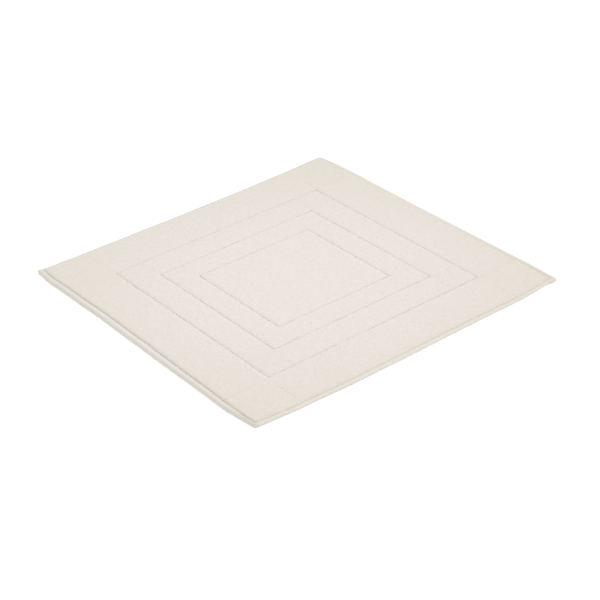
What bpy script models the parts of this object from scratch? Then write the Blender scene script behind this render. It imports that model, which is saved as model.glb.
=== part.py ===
"""A square bath mat of woven cotton terry, lying flat.

Metres, +Z up. The origin is on the floor, under the mat's centre. The side hems run along Y and the
end hems along X. One ground cloth carries loop pile on both sides. The pile is missing along three
square lines, the grooves, which part it into a centre panel and three frames. The cloth's border has
no pile: it is folded under twice and sewn down as a hem.
"""

import math

import bmesh
import bpy
from mathutils import Matrix, Vector

# The mat and its cloth
MAT_WIDTH = 0.600  # X, over the side hems
MAT_LENGTH = 0.600  # Y, over the end hems
CLOTH = 0.0012  # thickness of the ground weave
UPPER_PILE = 0.0039  # height of the loops on the upper side

# The hems, each a double fold of the ground cloth
SIDE_HEM = 0.0065  # finished width
END_HEM = 0.0130  # finished width
LAYER_GAP = 0.0003  # air between the layers of a fold
FOLD_STEPS = 8  # facets in each half circle of a fold

# The fields of pile, from the centre outwards
CENTRE_PANEL_X = 0.2064
CENTRE_PANEL_Y = 0.2188
INNER_FRAME_X = 0.0433  # width of each side of the frame, measured along X
INNER_FRAME_Y = 0.0416
MIDDLE_FRAME_X = 0.0507
MIDDLE_FRAME_Y = 0.0493
GROOVE = 0.0030  # bare cloth between two fields of pile
PILE_EDGE_RADIUS = 0.0010  # the loops lean outwards at the edge of a field
PILE_EDGE_STEPS = 2

# The sewing
THREAD = 0.0004  # diameter
SEAM_INSET = 0.0012  # from the seam to the hem's inner edge
SEAM_END = 0.0020  # from the seam's last stitch to the hem's end

# The care label, caught in the seam of the back hem and folded in under the mat
LABEL_WIDTH = 0.032
LABEL_DROP = 0.046  # how far it reaches in from the seam
LABEL_THICKNESS = 0.0005
LABEL_FROM_SIDE = 0.085  # from the left edge of the mat to the label's middle

# Clearances
CLEARANCE = 0.0003  # left between pieces that lie against each other
FLOOR_GAP = 0.0001  # under the lowest thread

# Heights that follow from the layers
HEM_THICKNESS = 3 * CLOTH + 2 * LAYER_GAP
HEM_BOTTOM = FLOOR_GAP + THREAD + CLEARANCE
GROUND_TOP = HEM_BOTTOM + HEM_THICKNESS  # the cloth runs level into the hem's upper layer
GROUND_BOTTOM = GROUND_TOP - CLOTH
UPPER_PILE_ROOT = GROUND_TOP + CLEARANCE
UNDER_PILE_ROOT = GROUND_BOTTOM - CLEARANCE

# Half sizes of the cloth inside its hems
FIELD_X = MAT_WIDTH / 2 - SIDE_HEM - CLEARANCE
FIELD_Y = MAT_LENGTH / 2 - END_HEM - CLEARANCE

CREAM_PILE = (0.80, 0.76, 0.68)
CREAM_CLOTH = (0.74, 0.69, 0.60)
CREAM_THREAD = (0.72, 0.66, 0.56)
WHITE_SATIN = (0.86, 0.86, 0.84)


def new_collection(name):
    """A collection in the scene."""
    collection = bpy.data.collections.new(name)
    bpy.context.scene.collection.children.link(collection)
    return collection


def textile(name, colour, roughness):
    """A matt cloth or yarn."""
    material = bpy.data.materials.new(name)
    material.use_nodes = True
    shader = material.node_tree.nodes["Principled BSDF"]
    shader.inputs["Base Color"].default_value = (*colour, 1)
    shader.inputs["Roughness"].default_value = roughness
    shader.inputs["Metallic"].default_value = 0
    return material


def new_object(name, shape, material, collection, location=(0, 0, 0), turn=0):
    """An object from a bmesh, placed in the mat and turned about Z by so many degrees."""
    mesh = bpy.data.meshes.new(name)
    bmesh.ops.recalc_face_normals(shape, faces=shape.faces)
    shape.to_mesh(mesh)
    shape.free()
    mesh.materials.append(material)
    thing = bpy.data.objects.new(name, mesh)
    thing.location = location
    thing.rotation_euler.z = math.radians(turn)
    collection.objects.link(thing)
    return thing


def box(size, centre):
    """A box as a bmesh, in its object's own frame."""
    shape = bmesh.new()
    bmesh.ops.create_cube(shape, size=1)
    bmesh.ops.scale(shape, vec=size, verts=shape.verts)
    bmesh.ops.translate(shape, vec=centre, verts=shape.verts)
    return shape


def make_ground_cloth(collection):
    """The woven cloth between the hems."""
    size = (2 * FIELD_X, 2 * FIELD_Y, CLOTH)
    centre = (0, 0, (GROUND_TOP + GROUND_BOTTOM) / 2)
    return new_object("ground_cloth", box(size, centre), textile("ground_weave", CREAM_CLOTH, 0.9), collection)


def pile_fields():
    """The name, outer half size and inner half size of each field of pile, from the centre outwards."""
    panel = Vector((CENTRE_PANEL_X / 2, CENTRE_PANEL_Y / 2))
    groove = Vector((GROOVE, GROOVE))
    inner_hole = panel + groove
    inner = inner_hole + Vector((INNER_FRAME_X, INNER_FRAME_Y))
    middle_hole = inner + groove
    middle = middle_hole + Vector((MIDDLE_FRAME_X, MIDDLE_FRAME_Y))
    outer_hole = middle + groove
    outer = Vector((FIELD_X, FIELD_Y))
    return (
        ("centre_panel", panel, None),
        ("inner_frame", inner, inner_hole),
        ("middle_frame", middle, middle_hole),
        ("outer_frame", outer, outer_hole),
    )


def make_pile_field(name, outer, hole, root, tip, material, collection):
    """One field of loops as a slab, or as a frame round its hole, with its edges rounded at the tips."""
    shape = bmesh.new()
    cells = 3 if hole else 1
    bmesh.ops.create_grid(shape, x_segments=cells, y_segments=cells, size=1)
    for vert in shape.verts:
        for axis in range(2):
            half = outer[axis] if abs(vert.co[axis]) > 0.5 else hole[axis]
            vert.co[axis] = math.copysign(half, vert.co[axis])
        vert.co.z = root
    if hole:
        middle = [face for face in shape.faces if face.calc_center_median().xy.length < GROOVE]
        bmesh.ops.delete(shape, geom=middle, context="FACES_ONLY")
    slab = bmesh.ops.extrude_face_region(shape, geom=shape.faces[:])["geom"]
    tips = [part for part in slab if isinstance(part, bmesh.types.BMVert)]
    bmesh.ops.translate(shape, vec=(0, 0, tip - root), verts=tips)
    rim = [
        edge
        for edge in shape.edges
        if all(vert in tips for vert in edge.verts) and edge.calc_face_angle() > math.radians(45)
    ]
    bmesh.ops.bevel(
        shape,
        geom=rim,
        offset=PILE_EDGE_RADIUS,
        segments=PILE_EDGE_STEPS,
        profile=0.5,
        affect="EDGES",
        material=-1,
    )
    return new_object(name, shape, material, collection)


def make_upper_pile(collection):
    """The loops that are stood on."""
    material = textile("upper_terry", CREAM_PILE, 0.95)
    tips = UPPER_PILE_ROOT + UPPER_PILE
    for field, outer, hole in pile_fields():
        make_pile_field("upper_pile_" + field, outer, hole, UPPER_PILE_ROOT, tips, material, collection)


def make_under_pile(collection, cutters):
    """The loops that lie on the floor, pressed in where the care label lies."""
    material = textile("under_terry", CREAM_PILE, 0.95)
    depth = LABEL_THICKNESS + CLEARANCE
    side = LABEL_WIDTH + 2 * CLEARANCE
    drop = LABEL_DROP + 2 * CLEARANCE
    hollow = box((side, drop, 2 * depth), (label_x(), label_back() + CLEARANCE - drop / 2, 0))
    cutter = new_object("label_hollow", hollow, material, cutters)
    cutter.hide_render = True
    cutter.display_type = "WIRE"
    for field, outer, hole in pile_fields():
        pile = make_pile_field("under_pile_" + field, outer, hole, UNDER_PILE_ROOT, 0, material, collection)
        press = pile.modifiers.new("label_hollow", "BOOLEAN")
        press.operation = "DIFFERENCE"
        press.object = cutter


def arc(centre, radius, start, end):
    """Points along an arc, from one angle to another, in degrees."""
    angles = [math.radians(start + (end - start) * step / FOLD_STEPS) for step in range(FOLD_STEPS + 1)]
    return [(centre[0] + radius * math.cos(angle), centre[1] + radius * math.sin(angle)) for angle in angles]


def hem_path(width):
    """The cloth's middle line through a double fold, as (distance in from the hem's outer edge, height).

    It comes from the ground cloth along the hem's top, turns under at the outer edge, runs back below,
    and turns in again, so that the raw edge ends up inside.
    """
    half = CLOTH / 2
    outer_radius = (HEM_THICKNESS - CLOTH) / 2
    inner_radius = (CLOTH + LAYER_GAP) / 2
    outer_centre = (outer_radius + half, HEM_THICKNESS / 2)
    inner_centre = (width - half - inner_radius, half + inner_radius)
    raw_edge = (outer_centre[0] + LAYER_GAP, inner_centre[1] + inner_radius)
    return [
        (width, HEM_THICKNESS - half),
        *arc(outer_centre, outer_radius, 90, 270),
        *arc(inner_centre, inner_radius, -90, 90),
        raw_edge,
    ]


def sides():
    """Each side of the mat: its name, its turn about Z, its hem's width and length, and its distance out."""
    side_length = MAT_LENGTH - 2 * (END_HEM + CLEARANCE)
    return (
        ("left", 0, SIDE_HEM, side_length, MAT_WIDTH / 2),
        ("front", 90, END_HEM, MAT_WIDTH, MAT_LENGTH / 2),
        ("right", 180, SIDE_HEM, side_length, MAT_WIDTH / 2),
        ("back", 270, END_HEM, MAT_WIDTH, MAT_LENGTH / 2),
    )


def placed(turn, outwards, inwards, height):
    """A point at a given distance in from a side's outer edge."""
    return Matrix.Rotation(math.radians(turn), 3, "Z") @ Vector((inwards - outwards, 0, height))


def make_hem(side, turn, width, length, outwards, material, collection):
    """The folded border along one side. Its own X runs inwards from the outer edge."""
    shape = bmesh.new()
    line = [shape.verts.new((inwards, -length / 2, height)) for inwards, height in hem_path(width)]
    folded = [shape.edges.new(pair) for pair in zip(line, line[1:])]
    sheet = bmesh.ops.extrude_edge_only(shape, edges=folded)["geom"]
    far = [part for part in sheet if isinstance(part, bmesh.types.BMVert)]
    bmesh.ops.translate(shape, vec=(0, length, 0), verts=far)
    place = placed(turn, outwards, 0, HEM_BOTTOM)
    hem = new_object("hem_" + side, shape, material, collection, place, turn)
    cloth = hem.modifiers.new("cloth", "SOLIDIFY")
    cloth.thickness = CLOTH
    cloth.offset = 0
    cloth.use_even_offset = True


def make_thread(name, side, height, material, collection):
    """One thread of a seam, straight along its hem."""
    _, turn, width, length, outwards = side
    curve = bpy.data.curves.new(name, "CURVE")
    curve.dimensions = "3D"
    curve.bevel_depth = THREAD / 2
    curve.bevel_resolution = 2
    curve.use_fill_caps = True
    curve.materials.append(material)
    line = curve.splines.new("POLY")
    line.points.add(1)
    for point, end in zip(line.points, (-1, 1)):
        point.co = (0, end * (length / 2 - SEAM_END), 0, 1)
    thread = bpy.data.objects.new(name, curve)
    thread.location = placed(turn, outwards, width - SEAM_INSET, height)
    thread.rotation_euler.z = math.radians(turn)
    collection.objects.link(thread)


def make_hems(collection):
    """Four hems, each sewn down with a needle thread above and a bobbin thread below."""
    cloth = textile("hem_weave", CREAM_CLOTH, 0.85)
    cotton = textile("sewing_thread", CREAM_THREAD, 0.6)
    needle_height = GROUND_TOP + CLEARANCE + THREAD / 2
    bobbin_height = HEM_BOTTOM - CLEARANCE - THREAD / 2
    for side in sides():
        make_hem(*side, cloth, collection)
        make_thread("needle_thread_" + side[0], side, needle_height, cotton, collection)
        make_thread("bobbin_thread_" + side[0], side, bobbin_height, cotton, collection)


def label_x():
    """Where the middle of the care label is along the back hem."""
    return LABEL_FROM_SIDE - MAT_WIDTH / 2


def label_back():
    """Where the care label comes out of the back hem's seam."""
    return MAT_LENGTH / 2 - END_HEM + SEAM_INSET - THREAD / 2 - CLEARANCE


def make_care_label(collection):
    """A folded satin ribbon with nothing printed on it."""
    size = (LABEL_WIDTH, LABEL_DROP, LABEL_THICKNESS)
    centre = (label_x(), label_back() - LABEL_DROP / 2, LABEL_THICKNESS / 2)
    new_object("care_label", box(size, centre), textile("label_satin", WHITE_SATIN, 0.4), collection)


def main():
    for thing in list(bpy.data.objects):
        bpy.data.objects.remove(thing)
    mat = new_collection("bath_mat")
    cutters = new_collection("cutters")
    make_ground_cloth(mat)
    make_upper_pile(mat)
    make_under_pile(mat, cutters)
    make_hems(mat)
    make_care_label(mat)


main()
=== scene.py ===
import math

import bmesh
import bpy
import numpy as np
from mathutils import Matrix, Vector


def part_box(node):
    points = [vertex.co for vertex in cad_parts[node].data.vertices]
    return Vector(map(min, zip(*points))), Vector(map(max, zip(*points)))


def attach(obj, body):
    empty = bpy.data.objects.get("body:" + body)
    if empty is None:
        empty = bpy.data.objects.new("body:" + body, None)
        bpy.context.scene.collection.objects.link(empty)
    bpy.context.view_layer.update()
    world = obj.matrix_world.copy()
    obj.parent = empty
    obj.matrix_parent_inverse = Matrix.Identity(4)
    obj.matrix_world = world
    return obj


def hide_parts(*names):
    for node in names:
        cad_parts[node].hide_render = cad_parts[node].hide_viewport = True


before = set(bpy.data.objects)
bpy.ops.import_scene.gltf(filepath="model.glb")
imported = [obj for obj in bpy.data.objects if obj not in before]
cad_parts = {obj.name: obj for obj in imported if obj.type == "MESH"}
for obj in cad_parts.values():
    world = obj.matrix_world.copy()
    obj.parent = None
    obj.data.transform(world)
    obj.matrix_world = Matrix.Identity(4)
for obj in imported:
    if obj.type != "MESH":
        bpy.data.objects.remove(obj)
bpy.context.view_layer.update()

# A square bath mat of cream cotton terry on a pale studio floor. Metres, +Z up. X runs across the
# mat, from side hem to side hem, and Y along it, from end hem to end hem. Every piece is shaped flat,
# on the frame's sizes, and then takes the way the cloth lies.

# ---- Camera ----
# A long lens from above the mat's front right corner, rolled a little clockwise.

CAMERA_AZIMUTH = 53.60  # degrees round from the front
CAMERA_ELEVATION = 31.32
CAMERA_ROLL = -3.52
CAMERA_DISTANCE = 2.693
CAMERA_AIM = Vector((0.0556, -0.0321, 0.0))
SENSOR = 36.0  # mm
LENS = 103.26  # mm


def turn(degrees, axis):
    """A rotation about one axis."""
    return Matrix.Rotation(math.radians(degrees), 4, axis)


lens = bpy.data.cameras.new("studio_camera")
lens.sensor_width = SENSOR
lens.lens = LENS
camera = bpy.data.objects.new("studio_camera", lens)
bpy.context.scene.collection.objects.link(camera)
looking = turn(CAMERA_AZIMUTH, "Z") @ turn(90 - CAMERA_ELEVATION, "X")
back_off = Matrix.Translation((0, 0, CAMERA_DISTANCE))
camera.matrix_world = Matrix.Translation(CAMERA_AIM) @ looking @ back_off @ turn(CAMERA_ROLL, "Z")
bpy.context.scene.camera = camera


# ---- Ground cloth ----
# The plain weave of twisted cotton that carries the loops. It is the one cloth that everything else is
# woven or sewn into, so how it lies is set here: once washed, its sides bow, its corners pull in or out,
# its pattern is never spaced quite evenly, and it rides over the floor in long, low swells.

HALF = 0.300  # half the mat's side
GROUND_CELL = 0.006
GROUND_THREAD = 0.75  # mm between threads: 13 to the centimetre
GROUND_RELIEF = 0.0002  # how deep the weave's bump is
SLUB_SCALE = 400  # thick and thin places in the yarn, about 2.5 mm apart
# The ground's cream and its weave's darker check: the cloth's own colour, made warmer and tanner than the
# loops as painted shade for the grooves, where the ground shows
GROUND_CREAM_WITH_GROOVE_SHADE = "#EBDDC2"
WEAVE_SHADE = "#DAC8A6"

# How far each part of the pattern has moved, in mm, at these places on the flat mat, also in mm
ACROSS_PLACES = (-206, -150, -104, 104, 150, 206)
ACROSS_MOVED = (1.5, 1.5, 2.2, 1.3, 0.8, 0.0)
ALONG_PLACES = (-208, -155, -110, 110, 155, 208)
ALONG_MOVED = (0.7, -0.5, -1.5, -2.2, -1.3, -0.5)

# How far each side has moved, in mm, at these shares of the way from its middle to its corners: first
# its seam, then its outer fold
SIDE_PLACES = (-1, -0.94, -0.87, -0.75, -0.4, 0, 0.4, 0.75, 0.87, 0.94, 1)
RIGHT_MOVED = (
    (-15.0, -13.2, -11.9, -8.5, -6.5, -6.9, -7.1, -5.8, -8.2, -10.6, -8.6),
    (-17.3, -15.4, -14.1, -11.3, -7.9, -7.9, -9.8, -9.4, -12.0, -14.9, -11.8),
)
LEFT_MOVED = (
    (0.0, 0.6, -0.9, 1.1, 2.4, 3.3, 3.8, 1.0, -0.7, -1.6, -1.3),
    (-5.2, -2.4, -2.1, -0.3, 1.6, 2.4, 2.6, -0.1, -1.9, -3.3, 0.4),
)
BACK_MOVED = (
    (-5.1, -3.5, -2.4, -1.4, -2.0, -0.4, -2.1, -3.2, -3.2, -4.0, -3.7),
    (-4.1, -3.6, -1.1, 0.1, -1.2, -2.4, -1.7, -0.5, -2.2, -3.2, -1.8),
)
FRONT_MOVED = (
    (3.0, 0.9, 0.6, 1.5, 3.4, 2.4, 0.8, -0.9, -1.9, -1.5, 0.0),
    (6.7, 5.1, 2.9, 4.4, 5.5, 4.1, 4.0, 2.9, 6.0, 8.2, 9.4),
)
SIDE_SMOOTHING = 0.015  # a table is read this far apart, and its readings averaged, which rounds it off
PATTERN = 0.210  # the sides' moves reach in to here

SWELL = 0.0004  # the most that the cloth lifts off the floor
SWELL_LENGTH = 0.24
WAVES = 7  # that a random surface is made of
EDGE_WAVE = 0.00025  # how far the hems wander from a smooth line
EDGE_WAVE_LENGTH = 0.09

ground_low, ground_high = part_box("ground_cloth")
ground_thickness = ground_high.z - ground_low.z


def swell(x, y, length, seed):
    """A smooth random surface of about -1 to 1, whose waves are about so long."""
    draw = np.random.default_rng(seed)
    total = np.zeros(np.broadcast(x, y).shape)
    for _ in range(WAVES):
        heading = draw.uniform(0, math.tau)
        pace = math.tau / (length * draw.uniform(0.7, 1.5))
        start = draw.uniform(0, math.tau)
        total += np.sin(pace * (x * math.cos(heading) + y * math.sin(heading)) + start)
    return total / math.sqrt(2 * WAVES)


def outwards(place, seam):
    """The share of the way out from the pattern to a seam."""
    return np.clip((np.abs(place) - PATTERN) / (seam - PATTERN), 0, 1)


def side_moved(place, along, seam, moved):
    """How far points near a side have moved: its tables, rounded off and blended from seam to fold."""
    nearby = [along / HALF + SIDE_SMOOTHING * k for k in (-2, -1, 0, 1, 2)]
    readings = [[np.interp(share, SIDE_PLACES, row) for share in nearby] for row in moved]
    at_seam, at_fold = np.mean(readings, axis=1) / 1000
    return at_seam + (at_fold - at_seam) * np.clip((np.abs(place) - seam) / (HALF - seam), 0, 1)


def lie(points):
    """Carries points of the flat mat to where the cloth lies."""
    x, y, z = points.T
    out_x = outwards(x, ground_high.x)
    out_y = outwards(y, ground_high.y)
    pattern_x = np.interp(x * 1000, ACROSS_PLACES, ACROSS_MOVED) / 1000
    pattern_y = np.interp(y * 1000, ALONG_PLACES, ALONG_MOVED) / 1000
    right = side_moved(x, y, ground_high.x, RIGHT_MOVED)
    left = side_moved(x, y, ground_high.x, LEFT_MOVED)
    back = side_moved(y, x, ground_high.y, BACK_MOVED)
    front = side_moved(y, x, ground_high.y, FRONT_MOVED)
    wander = EDGE_WAVE * swell(x, y, EDGE_WAVE_LENGTH, 1)
    laid_x = x + (1 - out_x) * pattern_x + out_x * (np.where(x > 0, right, left) + wander)
    laid_y = y + (1 - out_y) * pattern_y + out_y * (np.where(y > 0, back, front) + wander)
    lift = SWELL * (0.5 + 0.5 * np.clip(swell(x, y, SWELL_LENGTH, 2), -1, 1))
    return np.stack((laid_x, laid_y, np.maximum(z + lift, 0)), axis=1)


def points_of(mesh):
    """A mesh's vertices as an array."""
    flat = np.empty(len(mesh.vertices) * 3)
    mesh.vertices.foreach_get("co", flat)
    return flat.reshape(-1, 3)


def laid_piece(name, shape, shift=None):
    """An object from a bmesh, each point moved by shift, if given, and then as the cloth lies."""
    mesh = bpy.data.meshes.new(name)
    shape.to_mesh(mesh)
    points = points_of(mesh)
    if shift:
        points = shift(points)
    mesh.vertices.foreach_set("co", lie(points).ravel())
    shape.clear()
    shape.from_mesh(mesh)
    bmesh.ops.recalc_face_normals(shape, faces=shape.faces)
    shape.to_mesh(mesh)
    shape.free()
    mesh.shade_smooth()
    piece = bpy.data.objects.new(name, mesh)
    bpy.context.scene.collection.objects.link(piece)
    return piece


def linear(code):
    """An sRGB hex colour as linear red, green, blue and alpha."""
    channels = [int(code[k : k + 2], 16) / 255 for k in (1, 3, 5)]
    return (*[c / 12.92 if c <= 0.04045 else ((c + 0.055) / 1.055) ** 2.4 for c in channels], 1)


def add(tree, kind, settings=None, **links):
    """Adds a node. Settings are its properties. Links and values go to its inputs by name or number."""
    node = tree.nodes.new(kind)
    for key, value in (settings or {}).items():
        setattr(node, key, value)
    for key, value in links.items():
        socket = node.inputs[int(key[1:])] if key[0] == "_" else node.inputs[key.replace("_", " ")]
        if isinstance(value, bpy.types.NodeSocket):
            tree.links.new(value, socket)
        else:
            socket.default_value = value
    return node


def cloth_finish(name, roughness, sheen):
    """A new material, its nodes and its shader. Cloth is matt, with a soft bloom of fibre ends."""
    material = bpy.data.materials.new(name)
    material.use_nodes = True
    shader = material.node_tree.nodes["Principled BSDF"]
    shader.inputs["Roughness"].default_value = roughness
    shader.inputs["IOR"].default_value = 1.45
    shader.inputs["Specular IOR Level"].default_value = 0.25
    shader.inputs["Sheen Weight"].default_value = sheen
    shader.inputs["Sheen Roughness"].default_value = 0.5
    return material, material.node_tree, shader


def mark(piece, name, kind, values):
    """Gives each vertex of a piece its own value, for a material to read."""
    marks = piece.data.attributes.new(name, kind, "POINT")
    marks.data.foreach_set("value" if kind == "FLOAT" else "vector", np.ravel(values))


def plain_weave(name, light, dark, spacing, relief, painted_shade=None):
    """Plain weave: two sets of round threads over and under each other, a fine even check to the eye.
    Where a painted shade tint is given, it is multiplied over the colour wherever the hems are painted darker
    and warmer as shade."""
    material, tree, shader = cloth_finish(name, 0.85, 0.15)
    place = add(tree, "ShaderNodeAttribute", {"attribute_name": "threads"}).outputs["Vector"]
    threads = math.pi * 1000 / spacing
    scaled = add(tree, "ShaderNodeVectorMath", {"operation": "SCALE"}, _0=place, Scale=threads).outputs[0]
    parts = add(tree, "ShaderNodeSeparateXYZ", Vector=scaled)
    sine_x = add(tree, "ShaderNodeMath", {"operation": "SINE"}, _0=parts.outputs["X"]).outputs[0]
    sine_y = add(tree, "ShaderNodeMath", {"operation": "SINE"}, _0=parts.outputs["Y"]).outputs[0]
    crossing = add(tree, "ShaderNodeMath", {"operation": "MULTIPLY"}, _0=sine_x, _1=sine_y).outputs[0]
    rounds = add(tree, "ShaderNodeMath", {"operation": "ABSOLUTE"}, _0=crossing).outputs[0]
    slub = add(tree, "ShaderNodeTexNoise", Vector=place, Scale=SLUB_SCALE, Detail=2.0).outputs["Fac"]
    height = add(tree, "ShaderNodeMath", {"operation": "MULTIPLY_ADD"}, _0=slub, _1=0.5, _2=rounds).outputs[0]
    bump = add(tree, "ShaderNodeBump", Height=height, Distance=relief, Strength=0.4)
    shade = add(tree, "ShaderNodeMix", {"data_type": "RGBA"}, _0=height, _6=linear(dark), _7=linear(light))
    # Painted shade: a darker, warmer tint multiplied over the hems' colour
    if painted_shade:
        share = add(tree, "ShaderNodeAttribute", {"attribute_name": "painted_hem_shade"}).outputs["Fac"]
        over = {"data_type": "RGBA", "blend_type": "MULTIPLY"}
        shade = add(tree, "ShaderNodeMix", over, _0=share, _6=shade.outputs[2], _7=linear(painted_shade))
    tree.links.new(shade.outputs[2], shader.inputs["Base Color"])
    tree.links.new(bump.outputs["Normal"], shader.inputs["Normal"])
    return material


def cell_lines(breaks, cell):
    """Grid lines from break to break, in whole cells about so wide."""
    lines = [breaks[0]]
    for low, high in zip(breaks, breaks[1:]):
        count = max(1, round((high - low) / cell))
        lines.extend(low + (high - low) * k / count for k in range(1, count + 1))
    return lines


def grid(lines_x, lines_y, height):
    """A level grid with the given lines."""
    shape = bmesh.new()
    count_x = len(lines_x) - 1
    count_y = len(lines_y) - 1
    bmesh.ops.create_grid(shape, x_segments=count_x, y_segments=count_y, size=1)
    for vert in shape.verts:
        column = round((vert.co.x + 1) / 2 * count_x)
        row = round((vert.co.y + 1) / 2 * count_y)
        vert.co = (lines_x[column], lines_y[row], height)
    return shape


def raised(shape, faces, height):
    """Extrudes faces upwards. Returns the new faces."""
    edges = list(dict.fromkeys(edge for face in faces for edge in face.edges))  # always in one order
    new = bmesh.ops.extrude_face_region(shape, geom=faces + edges)["geom"]
    verts = [v for v in new if isinstance(v, bmesh.types.BMVert)]
    bmesh.ops.translate(shape, vec=(0, 0, height), verts=verts)
    return [f for f in new if isinstance(f, bmesh.types.BMFace)]


ground_lines_x = cell_lines((ground_low.x, ground_high.x), GROUND_CELL)
ground_lines_y = cell_lines((ground_low.y, ground_high.y), GROUND_CELL)
cloth = grid(ground_lines_x, ground_lines_y, ground_low.z)
raised(cloth, cloth.faces[:], ground_thickness)
ground = laid_piece("woven_ground", cloth)
mark(ground, "threads", "FLOAT_VECTOR", points_of(ground.data))
ground_cotton = plain_weave("plain_weave_cotton_ground", GROUND_CREAM_WITH_GROOVE_SHADE, WEAVE_SHADE, GROUND_THREAD, GROUND_RELIEF)
ground.data.materials.append(ground_cotton)
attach(ground, "root")
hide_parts("ground_cloth")


# ---- Loop pile ----
# Rows of soft cotton loops, woven into the ground on both sides and left uncut. They stand close,
# lean every way, and lean out over the grooves, so the bare cloth between two fields is all but hidden.
# Beside a hem the outermost loops lie right down on it.

LOOP_STEP = 0.00155  # from point to point of the mesh over the loops
STEPS = 8  # of those across one cell at the root, where the mesh stays coarse
EDGE_BAND = 0.0032  # the cells along every edge are only this wide, which rounds the edge better
FOOT = 0.0004  # height of the coarse part
WALL_ROWS = 2  # of faces from there up to the top
SWALE = 0.0005  # the pile sinks this much towards a groove
SWALE_REACH = 0.009
CREASE = 0.0008  # and rounds off by this much beside it
CREASE_REACH = 0.0034
LEAN = 0.0015  # how far the loops lean out over a groove
HEM_DROP = {1: 0.0035, -1: 0.0009}  # how far the loops beside a hem come down, above and below,
HEM_REACH = 0.0020
HEM_LEAN = {1: 0.0042, -1: 0.0006}  # and how far they lean out over it
SCALLOP = 0.00025  # how uneven the edge of a field is
SCALLOP_LENGTH = 0.012
LOOP_DEPTH = 0.00025  # between the tips of long and short loops
LOOP_SWAY = 0.00028  # how far a loop leans any way
PAINTED_SHADE_SHORT = 0.30  # painted shade: how pale a short loop is painted, from its root's colour to its tip's
PAINTED_SHADE_LONG = 0.40  # and how much paler a long one is painted towards its tip
TUFT = 0.00008  # patches of loops that stand higher or lie lower
TUFT_LENGTH = 0.018
LOOP_WIDTH = 2.0  # mm from loop to loop in a row
LOOP_LENGTH = 2.6  # mm from row to row
LOOP_RELIEF = 0.0007  # how deep the bump of the loops is
YARN_SCALE = 1500  # the plies of the yarn, about 0.7 mm apart
LABEL_HOLLOW = 0.0012  # the label presses the loops in this far, and this far round it
LABEL_MARGIN = 0.0012
# The loops' tip cream, and a darker, warmer root cream that is painted shade deep in the pile and between the
# loops
CREAM_TIP = "#E3DDCF"
CREAM_ROOT_PAINTED_SHADE = "#D4C9B4"


def loop_terry(name, tip, root):
    """Uncut cotton loops: round nubs in loose rows, with painted shade: pale at their tips, darker and warmer
    between them and down at their roots.
    """
    material, tree, shader = cloth_finish(name, 0.92, 0.10)
    place = add(tree, "ShaderNodeTexCoord").outputs["Object"]
    loops = (1000 / LOOP_WIDTH, 1000 / LOOP_LENGTH, 1000 / LOOP_WIDTH)
    rows = add(tree, "ShaderNodeMapping", Vector=place, Scale=loops).outputs[0]
    nub = add(tree, "ShaderNodeTexVoronoi", Vector=rows, Scale=1.0, Randomness=0.85).outputs["Distance"]
    plies = add(tree, "ShaderNodeTexNoise", Vector=place, Scale=YARN_SCALE, Detail=2.0, Roughness=0.6)
    round_nub = add(tree, "ShaderNodeMapRange", Value=nub, _1=0.75, _2=0.0, _3=0.0, _4=1.0).outputs[0]
    onto = {"operation": "MULTIPLY_ADD"}
    height = add(tree, "ShaderNodeMath", onto, _0=plies.outputs["Fac"], _1=0.35, _2=round_nub).outputs[0]
    bump = add(tree, "ShaderNodeBump", Height=height, Distance=LOOP_RELIEF, Strength=0.25)
    # Painted shade: the colour runs from the root's cream between the nubs and low in the pile to the tip's
    # cream on their tops
    painted_pile_shade = add(tree, "ShaderNodeAttribute", {"attribute_name": "painted_pile_shade"}).outputs["Fac"]
    lit = add(tree, "ShaderNodeMath", onto, _0=round_nub, _1=0.40, _2=painted_pile_shade).outputs[0]
    shade = add(tree, "ShaderNodeMix", {"data_type": "RGBA"}, _0=lit, _6=linear(root), _7=linear(tip))
    tree.links.new(shade.outputs[2], shader.inputs["Base Color"])
    tree.links.new(bump.outputs["Normal"], shader.inputs["Normal"])
    return material


def rise_of(edge):
    """How far an edge rises."""
    return abs(edge.verts[0].co.z - edge.verts[1].co.z)


def pile_blank(outer, hole, thickness):
    """A slab of pile, or a frame of it, rooted at height 0: coarse below and fine above."""
    lines = []
    for axis in (0, 1):
        breaks = [outer[axis] - EDGE_BAND, outer[axis]]
        if hole:
            breaks = [hole[axis], hole[axis] + EDGE_BAND] + breaks
        breaks = [-place for place in reversed(breaks)] + breaks
        lines.append(cell_lines(breaks, LOOP_STEP * STEPS))
    shape = grid(*lines, 0)
    if hole:
        middles = [(face, face.calc_center_median()) for face in shape.faces]
        inside = [face for face, at in middles if abs(at.x) < hole.x and abs(at.y) < hole.y]
        bmesh.ops.delete(shape, geom=inside, context="FACES")
    foot = raised(shape, shape.faces[:], FOOT)
    raised(shape, foot, thickness - FOOT)
    level = [e for e in shape.edges if e.verts[0].co.z > 0 and rise_of(e) < FOOT / 2]
    bmesh.ops.subdivide_edges(shape, edges=level, cuts=STEPS - 1, use_grid_fill=True)
    upright = [e for e in shape.edges if rise_of(e) > FOOT * 1.5]
    cut = bmesh.ops.subdivide_edges(shape, edges=upright, cuts=WALL_ROWS - 1, use_grid_fill=True)
    # The points of a wall come in no fixed order, which random draws would follow
    shape.verts.index_update()
    walls = [vert for vert in cut["geom_inner"] if isinstance(vert, bmesh.types.BMVert)]
    numbers = sorted(vert.index for vert in walls)
    walls.sort(key=lambda vert: [round(part, 6) for part in vert.co])
    order = dict(zip(walls, numbers))
    shape.verts.sort(key=lambda vert: order.get(vert, vert.index))
    shape.verts.index_update()
    return shape


def nearness(distance, reach):
    """1 at an edge, falling to 0 at its reach."""
    return np.clip(1 - distance / reach, 0, 1)


def rounded_off(near):
    """A quarter round, from 1 at an edge to 0 at its reach."""
    return 1 - np.sqrt(1 - np.minimum(near, 1) ** 2)


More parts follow.
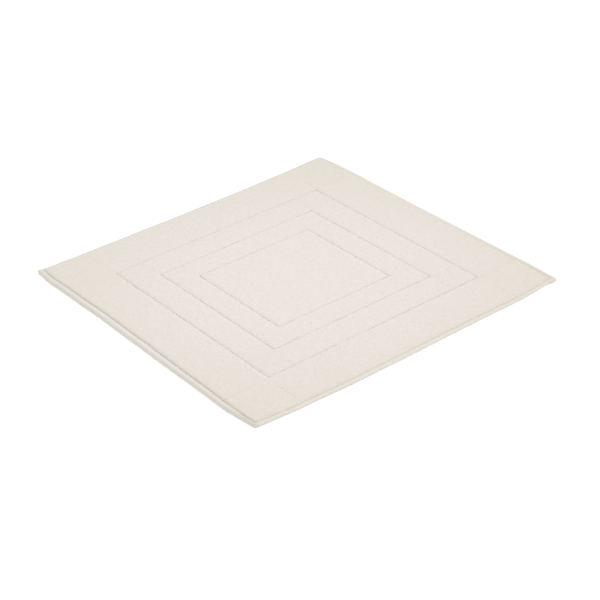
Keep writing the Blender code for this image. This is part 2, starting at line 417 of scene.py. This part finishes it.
def under_label(x, y):
    """Which points of the under side the care label covers, with a margin."""
    low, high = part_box("care_label")
    across = (x > low.x - LABEL_MARGIN) & (x < high.x + LABEL_MARGIN)
    return across & (y > low.y - LABEL_MARGIN) & (y < high.y + LABEL_MARGIN)


def make_pile(name, node, seed, side, material):
    """One field of loops, on the upper side (1) or the under side (-1) of the ground."""
    low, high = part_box(node)
    outer = Vector((high.x, high.y))
    corners = [vert.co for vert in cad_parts[node].data.vertices]
    clear = Vector((min(abs(c.x) for c in corners), min(abs(c.y) for c in corners)))
    hole = clear if node.endswith("frame") else None
    thickness = high.z - low.z
    root = low.z if side > 0 else high.z
    beside_hem = node.endswith("outer_frame")
    reach = HEM_REACH if beside_hem else CREASE_REACH
    draw = np.random.default_rng(seed)
    marks = {}

    def shift(points):
        x, y, z = points.T.copy()
        stands = z / thickness
        scallop = SCALLOP * swell(x, y, SCALLOP_LENGTH, seed + 100)
        to_x = outer.x - np.abs(x)
        to_y = outer.y - np.abs(y)
        near_x = nearness(to_x, reach)
        near_y = nearness(to_y, reach)
        near = np.hypot(near_x, near_y)
        lean = ((HEM_LEAN[side] if beside_hem else LEAN) + scallop) / np.maximum(near, 1)
        lean_x = lean * near_x
        lean_y = lean * near_y
        if beside_hem:
            drop = HEM_DROP[side] * rounded_off(near)
        else:
            drop = CREASE * rounded_off(near)
            drop = drop + SWALE * nearness(np.minimum(to_x, to_y), SWALE_REACH) ** 2
        if hole:
            past_x = np.abs(x) - hole.x
            past_y = np.abs(y) - hole.y
            past = np.maximum(past_x, past_y)
            near_x = nearness(np.abs(past_x), CREASE_REACH)
            near_y = nearness(np.abs(past_y), CREASE_REACH)
            lean_x = lean_x - (LEAN + scallop) * near_x * np.where(past_y > 0, near_y, 1)
            lean_y = lean_y - (LEAN + scallop) * near_y * np.where(past_x > 0, near_x, 1)
            drop = drop + CREASE * rounded_off(nearness(past, CREASE_REACH))
            drop = drop + SWALE * nearness(past, SWALE_REACH) ** 2
        short = draw.uniform(0, 1, len(x)) ** 1.5
        tuft = TUFT * swell(x, y, TUFT_LENGTH, seed + 200)
        height = z * (1 - drop / thickness) - stands**2 * (LOOP_DEPTH * short - tuft)
        if side < 0:
            height = np.where(under_label(x, y), np.minimum(height, root - LABEL_HOLLOW), height)
        sway = draw.uniform(-LOOP_SWAY, LOOP_SWAY, (2, len(x))) * np.minimum(1, stands * 2)
        bent = 1 - (1 - stands) ** 2
        x += np.sign(x) * lean_x * bent + sway[0]
        y += np.sign(y) * lean_y * bent + sway[1]
        # Painted shade: short loops, and every loop towards its root, are painted darker, as if shaded deep in
        # the pile
        marks["painted_pile_shade"] = PAINTED_SHADE_SHORT + PAINTED_SHADE_LONG * (1 - short) * stands
        return np.stack((x, y, root + side * height), axis=1)

    pile = laid_piece(name, pile_blank(outer, hole, thickness), shift)
    mark(pile, "painted_pile_shade", "FLOAT", marks["painted_pile_shade"])
    pile.data.materials.append(material)
    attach(pile, "root")
    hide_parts(node)


cotton_terry = loop_terry("cotton_terry_loops", CREAM_TIP, CREAM_ROOT_PAINTED_SHADE)
for number, field in enumerate(("centre_panel", "inner_frame", "middle_frame", "outer_frame")):
    make_pile("upper_loops_" + field, "upper_pile_" + field, 10 + number, 1, cotton_terry)
    make_pile("under_loops_" + field, "under_pile_" + field, 20 + number, -1, cotton_terry)


# ---- Hems ----
# The border of the cloth has no loops. It is folded under twice, so that its raw edge is inside, and
# sewn down beside the pile. It stands fuller between the outer fold and the seam, which draws it in.
# The end hems are folded last, over the ends of the side hems.

STITCH = 0.0032  # length of one stitch
FULL_EDGE = 0.95  # how full the hem is at its outer fold, as a share of its flat thickness,
FULL_CROWN = 1.55  # at its crown,
FULL_SEAM = 0.80  # and at the seam
CROWN = 0.70  # the crown's place, as a share of the way to the seam
# The outer fold hangs down to the floor, except that the back hem has curled up
HEM_SAG = {"hem_front": 0.0006, "hem_right": 0.0006, "hem_back": -0.0015, "hem_left": 0.0006}
PUCKER = 0.00010  # the cloth rises this much between two needle holes,
PUCKER_REACH = 0.0025  # out to here from the seam
ROLL = 0.00015  # slow unevenness of the fold
ROLL_LENGTH = 0.045
CORNER_ROUND = 0.0010  # the end hems close down to the floor at their corners, over this far,
CORNER_THIN = 0.5  # by this share of their height,
CORNER_DRAW = 0.4  # and draw in by this share of that length
CORNER_LIE = 0.012  # the sag or curl of a fold dies away over this far to a corner
TUCK = 0.0040  # the ends of the side hems go this far into the end hems, and close over this far,
TUCK_THIN = 0.25  # by this share of their height
HEM_THREAD = 0.75  # mm between threads: 13 to the centimetre
HEM_RELIEF = 0.00015
HEM_LIGHT = "#E9E3D7"
HEM_DARK = "#E1DACC"
HEM_PAINTED_SHADE_TINT = "#F0ECE1"  # painted shade: a tint multiplied over the hem's colour, where it is painted darker and warmer

# How much of the painted shade tint shows: in the crease at a seam, along the front hem's outer fold, each
# with how far it reaches, and on the back hem, at these places in X
SEAM_PAINTED_SHADE = 0.75
SEAM_PAINTED_SHADE_REACH = 0.0035
FRONT_FOLD_PAINTED_SHADE = 0.45
FRONT_FOLD_PAINTED_SHADE_REACH = 0.0045
BACK_HEM_PAINTED_SHADE = (0.60, 0.62, 0.85, 1.00)
BACK_HEM_PAINTED_SHADE_PLACES = (-0.30, 0.0, 0.22, 0.30)


def arc(centre, radius, start, end, steps):
    """Points along an arc, from one angle to another, in degrees."""
    angles = [math.radians(start + (end - start) * k / steps) for k in range(steps + 1)]
    return [(centre[0] + radius * math.cos(a), centre[1] + radius * math.sin(a)) for a in angles]


def run(start, end, steps):
    """Points along a straight line, without its end."""
    return [tuple(a + (b - a) * k / steps for a, b in zip(start, end)) for k in range(steps)]


def hem_profile(width, thickness, seam):
    """The cloth's middle line through a double fold: distance in from the outer edge, height, and how
    near the outer fold each point is, as a share of the way from the seam."""
    half = ground_thickness / 2
    gap = (thickness - 3 * ground_thickness) / 2
    outer = (thickness - ground_thickness) / 2
    inner = (ground_thickness + gap) / 2
    outer_centre = (outer + half, thickness / 2)
    inner_centre = (width - half - inner, half + inner)
    raw_edge = (outer_centre[0] + gap, half + 2 * inner)
    line = [
        *run((width, thickness - half), (seam, thickness - half), 2),
        *run((seam, thickness - half), (outer_centre[0], thickness - half), 14),
        *arc(outer_centre, outer, 90, 270, 10)[:-1],
        *run((outer_centre[0], half), (inner_centre[0], half), 5),
        *arc(inner_centre, inner, -90, 90, 6)[:-1],
        *run((inner_centre[0], raw_edge[1]), raw_edge, 3),
        raw_edge,
    ]
    inwards, height = np.array(line).T
    across = np.clip(inwards / seam, 0, 1)
    rise = FULL_EDGE + (FULL_CROWN - FULL_EDGE) * np.sin(math.pi / 2 * np.minimum(across / CROWN, 1)) ** 0.8
    fall = FULL_SEAM + (FULL_CROWN - FULL_SEAM) * np.cos(math.pi / 2 * (across - CROWN) / (1 - CROWN))
    full = np.where(across < CROWN, rise, fall)
    return inwards, half + (height - half) * full, 1 - across


def run_along(inwards, height):
    """How far along the cloth each point of a profile is."""
    steps = np.hypot(np.diff(inwards), np.diff(height))
    return np.concatenate(([0], np.cumsum(steps)))


def hem_sides(node):
    """Where a hem is: the way in from its outer edge, its length, its width and its outer edge."""
    low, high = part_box(node)
    size = high - low
    if size.x > size.y:
        return (0, -1 if low.y > 0 else 1), size.x, size.y, max(abs(low.y), abs(high.y))
    return (-1 if low.x > 0 else 1, 0), size.y, size.x, max(abs(low.x), abs(high.x))


def on_hem(way, edge, inwards, along, height):
    """Points from hem measures to the mat's own X, Y and Z."""
    away = edge - inwards
    x = -way[0] * away + way[1] * along
    y = -way[1] * away + way[0] * along
    return np.stack((x, y, height), axis=1)


def seam_place(node):
    """How far in from a hem's outer edge its seam runs, read from the thread."""
    low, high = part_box(node.replace("hem", "needle_thread"))
    way, _, _, edge = hem_sides(node)
    middle = (low + high) / 2
    return edge - abs(middle.x * way[0] + middle.y * way[1])


def painted_hem_shade(node, inwards, along):
    """How much painted shade tints points on a hem: in the seam's crease, along the front hem's outer fold and
    over the back hem. The back hem's stops at its corners' mitres.
    """
    _, length, width, _ = hem_sides(node)
    painted_shade = SEAM_PAINTED_SHADE * nearness(np.abs(inwards - seam_place(node)), SEAM_PAINTED_SHADE_REACH)
    if node == "hem_front":
        painted_shade = np.maximum(painted_shade, FRONT_FOLD_PAINTED_SHADE * nearness(inwards, FRONT_FOLD_PAINTED_SHADE_REACH) ** 0.5)
    if node == "hem_back":
        mitre = (length / 2 - np.abs(along)) / hem_sides("hem_right")[2] < inwards / width
        painted_shade = np.interp(-along, BACK_HEM_PAINTED_SHADE_PLACES, BACK_HEM_PAINTED_SHADE) * ~mitre
    return painted_shade


def make_hem(name, node, seed, material):
    """One folded hem: a strip of cloth along its length, bent to the profile."""
    low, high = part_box(node)
    way, length, width, edge = hem_sides(node)
    seam = seam_place(node)
    thickness = high.z - low.z
    profile_inwards, profile_height, profile_outer = hem_profile(width, thickness, seam)
    profile_run = run_along(profile_inwards, profile_height)
    marks = {}
    floor_height = ground_thickness / 2
    is_end_hem = way[0] == 0
    closing = CORNER_ROUND if is_end_hem else TUCK
    thinning = CORNER_THIN if is_end_hem else TUCK_THIN
    half = length / 2 - CORNER_ROUND if is_end_hem else length / 2
    count = 2 * round(2 * half / STITCH)
    places = [-half + 2 * half * k / count for k in range(count + 1)]
    ends = [closing * math.sin(math.radians(18 * k)) for k in range(1, 6)]
    places = [-half - e for e in reversed(ends)] + places + [half + e for e in ends]

    def shift(points):
        column = points[:, 0].round().astype(int)
        along = points[:, 1]
        inwards = profile_inwards[column]
        height = profile_height[column]
        outer = np.clip(1 - inwards / width, 0, 1)
        marks["threads"] = np.stack((along, profile_run[column], np.zeros(len(along))), axis=1)
        # Painted shade on the hem, for its material to read
        marks["painted_hem_shade"] = painted_hem_shade(node, inwards, along)
        cut = rounded_off(np.maximum(np.abs(along) - half, 0) / closing)
        inwards = inwards + closing * CORNER_DRAW * cut * outer * is_end_hem
        inwards = inwards + ROLL * outer * swell(along, 0, ROLL_LENGTH, seed + 50)
        upper = np.clip(height / thickness, 0, 1)
        beat = np.cos(math.tau * (along + half) / (2 * half) * count / 2)
        near_seam = np.exp(-(((inwards - seam) / PUCKER_REACH) ** 2))
        height = floor_height + (height - floor_height) * (1 - thinning * cut)
        uneven = ROLL * swell(along, inwards * 3, ROLL_LENGTH, seed)
        height = height + upper * (uneven - near_seam * PUCKER * beat)
        lain = nearness(length / 2 - np.abs(along), CORNER_LIE) ** 2
        sag = HEM_SAG[node] * profile_outer[column] * (1 - lain)
        return on_hem(way, edge, inwards, along, low.z + height - sag)

    hem = laid_piece(name, grid(list(range(len(profile_inwards))), places, 0), shift)
    mark(hem, "threads", "FLOAT_VECTOR", marks["threads"])
    mark(hem, "painted_hem_shade", "FLOAT", marks["painted_hem_shade"])
    doubled = hem.modifiers.new("cloth", "SOLIDIFY")
    doubled.thickness = ground_thickness
    doubled.offset = 0
    hem.data.materials.append(material)
    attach(hem, "root")
    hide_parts(node)


SIDES = ("front", "right", "back", "left")
hem_cotton = plain_weave("plain_weave_cotton_hem", HEM_LIGHT, HEM_DARK, HEM_THREAD, HEM_RELIEF, HEM_PAINTED_SHADE_TINT)
for number, side in enumerate(SIDES):
    make_hem("folded_hem_" + side, "hem_" + side, 30 + number, hem_cotton)


# ---- Seams ----
# Lockstitches of two-ply spun cotton thread. The needle thread lies on the hem in short bars that dive
# into the cloth at each hole, where the bobbin thread, which does the same below, catches it.

THREAD_DIVE = 0.0005  # how deep a thread goes at a needle hole
THREAD_LIGHT = "#D8D0BF"
THREAD_DARK = "#B9AD98"
TWIST = 0.9  # mm from one turn of the ply to the next
TWIST_RELIEF = 0.0001
WAVE_REPEATS = 2.9  # turns that a diagonal wave texture makes in one unit
THREAD_FLAT = 0.4  # how much of its radius a thread stands off the cloth
THREAD_SIDES = 8
# One stitch, as shares of its length, and how high the thread is there: 1 on the cloth, -1 in the hole
STITCH_BAR = ((0.0, -1.0), (0.12, -0.2), (0.30, 0.75), (0.5, 1.0), (0.70, 0.75), (0.88, -0.2))


def spun_thread(name, light, dark):
    """Two-ply spun cotton: a fine slanting twist, with the slight gloss of long fibres."""
    material, tree, shader = cloth_finish(name, 0.65, 0.10)
    place = add(tree, "ShaderNodeTexCoord").outputs["Object"]
    turns = 1000 / TWIST / WAVE_REPEATS
    wave = {"bands_direction": "DIAGONAL"}
    twist = add(tree, "ShaderNodeTexWave", wave, Vector=place, Scale=turns, Distortion=1.0).outputs["Fac"]
    shade = add(tree, "ShaderNodeMix", {"data_type": "RGBA"}, _0=twist, _6=linear(dark), _7=linear(light))
    bump = add(tree, "ShaderNodeBump", Height=twist, Distance=TWIST_RELIEF, Strength=0.5)
    tree.links.new(shade.outputs[2], shader.inputs["Base Color"])
    tree.links.new(bump.outputs["Normal"], shader.inputs["Normal"])
    return material


def make_seam(name, hem, node, side, material):
    """One thread of a seam, over and into its hem. Side is 1 for the upper face and -1 for the under."""
    way, _, _, edge = hem_sides(hem)
    low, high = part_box(node)
    hem_low, hem_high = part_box(hem)
    pressed = (hem_high.z - hem_low.z - ground_thickness) * FULL_SEAM + ground_thickness
    face = hem_low.z + pressed if side > 0 else hem_low.z
    radius = (high.z - low.z) / 2
    half = max(high.x - low.x, high.y - low.y) / 2
    count = round(2 * half / STITCH)
    stitches = np.arange(count)[:, None]
    shares, ups = np.array(STITCH_BAR).T
    along = (-half + (stitches + shares) * 2 * half / count).ravel()
    rise = np.tile(np.where(ups > 0, ups * radius, ups * THREAD_DIVE), count)
    height = face + side * (rise + THREAD_FLAT * radius)
    slope = np.arctan2(np.gradient(height), np.gradient(along))

    def shift(points):
        ring = ((points[:, 2] + 0.5) * (len(along) - 1)).round().astype(int)
        inwards = seam_place(hem) + points[:, 0]
        run_on = along[ring] - points[:, 1] * np.sin(slope[ring])
        return on_hem(way, edge, inwards, run_on, height[ring] + points[:, 1] * np.cos(slope[ring]))

    tube = bmesh.new()
    bmesh.ops.create_cone(tube, cap_ends=True, segments=THREAD_SIDES, radius1=radius, radius2=radius, depth=1)
    lengths = [e for e in tube.edges if rise_of(e) > 0.5]
    bmesh.ops.subdivide_edges(tube, edges=lengths, cuts=len(along) - 2, use_grid_fill=True)
    thread = laid_piece(name, tube, shift)
    thread.data.materials.append(material)
    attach(thread, "root")
    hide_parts(node)


cotton_thread = spun_thread("spun_cotton_thread", THREAD_LIGHT, THREAD_DARK)
for side in SIDES:
    make_seam("needle_stitches_" + side, "hem_" + side, "needle_thread_" + side, 1, cotton_thread)
    make_seam("bobbin_stitches_" + side, "hem_" + side, "bobbin_thread_" + side, -1, cotton_thread)


# ---- Care label ----
# A white polyester satin ribbon, folded end to end, with both ends caught in the back hem's seam. It
# lies flat under the mat, pressed into the loops, and nothing is printed on it.

RIBBON = 0.00018  # thickness
LABEL_CURL = 0.00006
LABEL_CURL_LENGTH = 0.03
LABEL_CELL = 0.002
SATIN_RIB = 0.6  # mm between ribs: coarser than the real floats, so that they show
SATIN_RELIEF = 0.00005
SATIN_LIGHT = "#F2F1EE"
SATIN_SHADE = "#E0DED8"


def satin_ribbon(name, light, dark, spacing):
    """Polyester satin: long smooth floats in fine lines across the ribbon, with a soft gloss."""
    material, tree, shader = cloth_finish(name, 0.38, 0.0)
    shader.inputs["Specular IOR Level"].default_value = 0.5
    place = add(tree, "ShaderNodeTexCoord").outputs["Object"]
    parts = add(tree, "ShaderNodeSeparateXYZ", Vector=place)
    ribs = math.tau * 1000 / spacing
    phase = add(tree, "ShaderNodeMath", {"operation": "MULTIPLY"}, _0=parts.outputs["Y"], _1=ribs).outputs[0]
    wave = add(tree, "ShaderNodeMath", {"operation": "SINE"}, _0=phase).outputs[0]
    share = add(tree, "ShaderNodeMapRange", Value=wave, _1=-1.0, _2=1.0).outputs[0]
    shade = add(tree, "ShaderNodeMix", {"data_type": "RGBA"}, _0=share, _6=linear(dark), _7=linear(light))
    bump = add(tree, "ShaderNodeBump", Height=share, Distance=SATIN_RELIEF, Strength=0.4)
    tree.links.new(shade.outputs[2], shader.inputs["Base Color"])
    tree.links.new(bump.outputs["Normal"], shader.inputs["Normal"])
    return material


label_low, label_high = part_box("care_label")
fold_radius = (label_high.z - RIBBON) / 2
fold_at = (label_low.y + fold_radius + RIBBON / 2, label_high.z / 2)
under_layer = RIBBON / 2
upper_layer = label_high.z - RIBBON / 2
ribbon = np.array([
    *run((label_high.y, under_layer), (fold_at[0], under_layer), 16),
    *arc(fold_at, fold_radius, -90, -270, 8),
    *reversed(run((label_high.y, upper_layer), (fold_at[0], upper_layer), 16)),
])


def lay_ribbon(points):
    """The flat ribbon's grid, bent along its folded line, with a faint curl."""
    y, z = ribbon[points[:, 0].round().astype(int)].T
    x = points[:, 1]
    return np.stack((x, y, z + LABEL_CURL * (1 + swell(x, y, LABEL_CURL_LENGTH, 60))), axis=1)


ribbon_grid = grid(list(range(len(ribbon))), cell_lines((label_low.x, label_high.x), LABEL_CELL), 0)
label = laid_piece("satin_care_label", ribbon_grid, lay_ribbon)
ribbon_cloth = label.modifiers.new("cloth", "SOLIDIFY")
ribbon_cloth.thickness = RIBBON
ribbon_cloth.offset = 0
label.data.materials.append(satin_ribbon("polyester_satin_ribbon", SATIN_LIGHT, SATIN_SHADE, SATIN_RIB))
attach(label, "root")
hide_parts("care_label")


# ---- The whole mat as a sheet ----
# The mat is one cloth, laid flat on the floor. It was woven to the size of the field inside the hems, and the
# loops, hems, seams and label are all on it.


# ---- Floor and light ----
# A matt white light table in a white studio, a broad cool lamp not far above the mat, and a wide
# window behind it.

FLOOR_SIZE = 14.0
FLOOR_WHITE = "#FCFCFC"
FLOOR_GLOW = 0.12
ROOM_LIGHT = 0.795
LAMP_PLACE = (0.02, 0.0, 0.67)
LAMP_SIZE = 0.60
LAMP_POWER = 1.74
LAMP_COLOUR = (0.57, 0.646, 1.0)
WINDOW_LIGHT = 0.78
WINDOW_SPREAD = 70  # degrees
WINDOW_HEADING = 172  # degrees round from the front
WINDOW_ELEVATION = 40

floor_shape = bmesh.new()
bmesh.ops.create_grid(floor_shape, x_segments=1, y_segments=1, size=FLOOR_SIZE / 2)
floor_mesh = bpy.data.meshes.new("studio_floor")
floor_shape.to_mesh(floor_mesh)
floor_shape.free()
floor = bpy.data.objects.new("studio_floor", floor_mesh)
bpy.context.scene.collection.objects.link(floor)
paint, _, paint_shader = cloth_finish("matt_white_light_table", 1.0, 0.0)
paint_shader.inputs["Base Color"].default_value = linear(FLOOR_WHITE)
paint_shader.inputs["Emission Color"].default_value = (1, 1, 1, 1)
paint_shader.inputs["Emission Strength"].default_value = FLOOR_GLOW
floor_mesh.materials.append(paint)

room = bpy.data.worlds.new("white_studio")
room.use_nodes = True
room.node_tree.nodes["Background"].inputs["Color"].default_value = (1, 1, 1, 1)
room.node_tree.nodes["Background"].inputs["Strength"].default_value = ROOM_LIGHT
bpy.context.scene.world = room

bulb = bpy.data.lights.new("overhead_softbox", "AREA")
bulb.shape = "DISK"
bulb.size = LAMP_SIZE
bulb.energy = LAMP_POWER
bulb.color = LAMP_COLOUR
lamp = bpy.data.objects.new("overhead_softbox", bulb)
lamp.location = LAMP_PLACE
bpy.context.scene.collection.objects.link(lamp)

daylight = bpy.data.lights.new("back_window", "SUN")
daylight.energy = WINDOW_LIGHT
daylight.angle = math.radians(WINDOW_SPREAD)
window = bpy.data.objects.new("back_window", daylight)
window.matrix_world = turn(WINDOW_HEADING, "Z") @ turn(90 - WINDOW_ELEVATION, "X")
bpy.context.scene.collection.objects.link(window)
bpy.context.scene.view_settings.view_transform = "Standard"
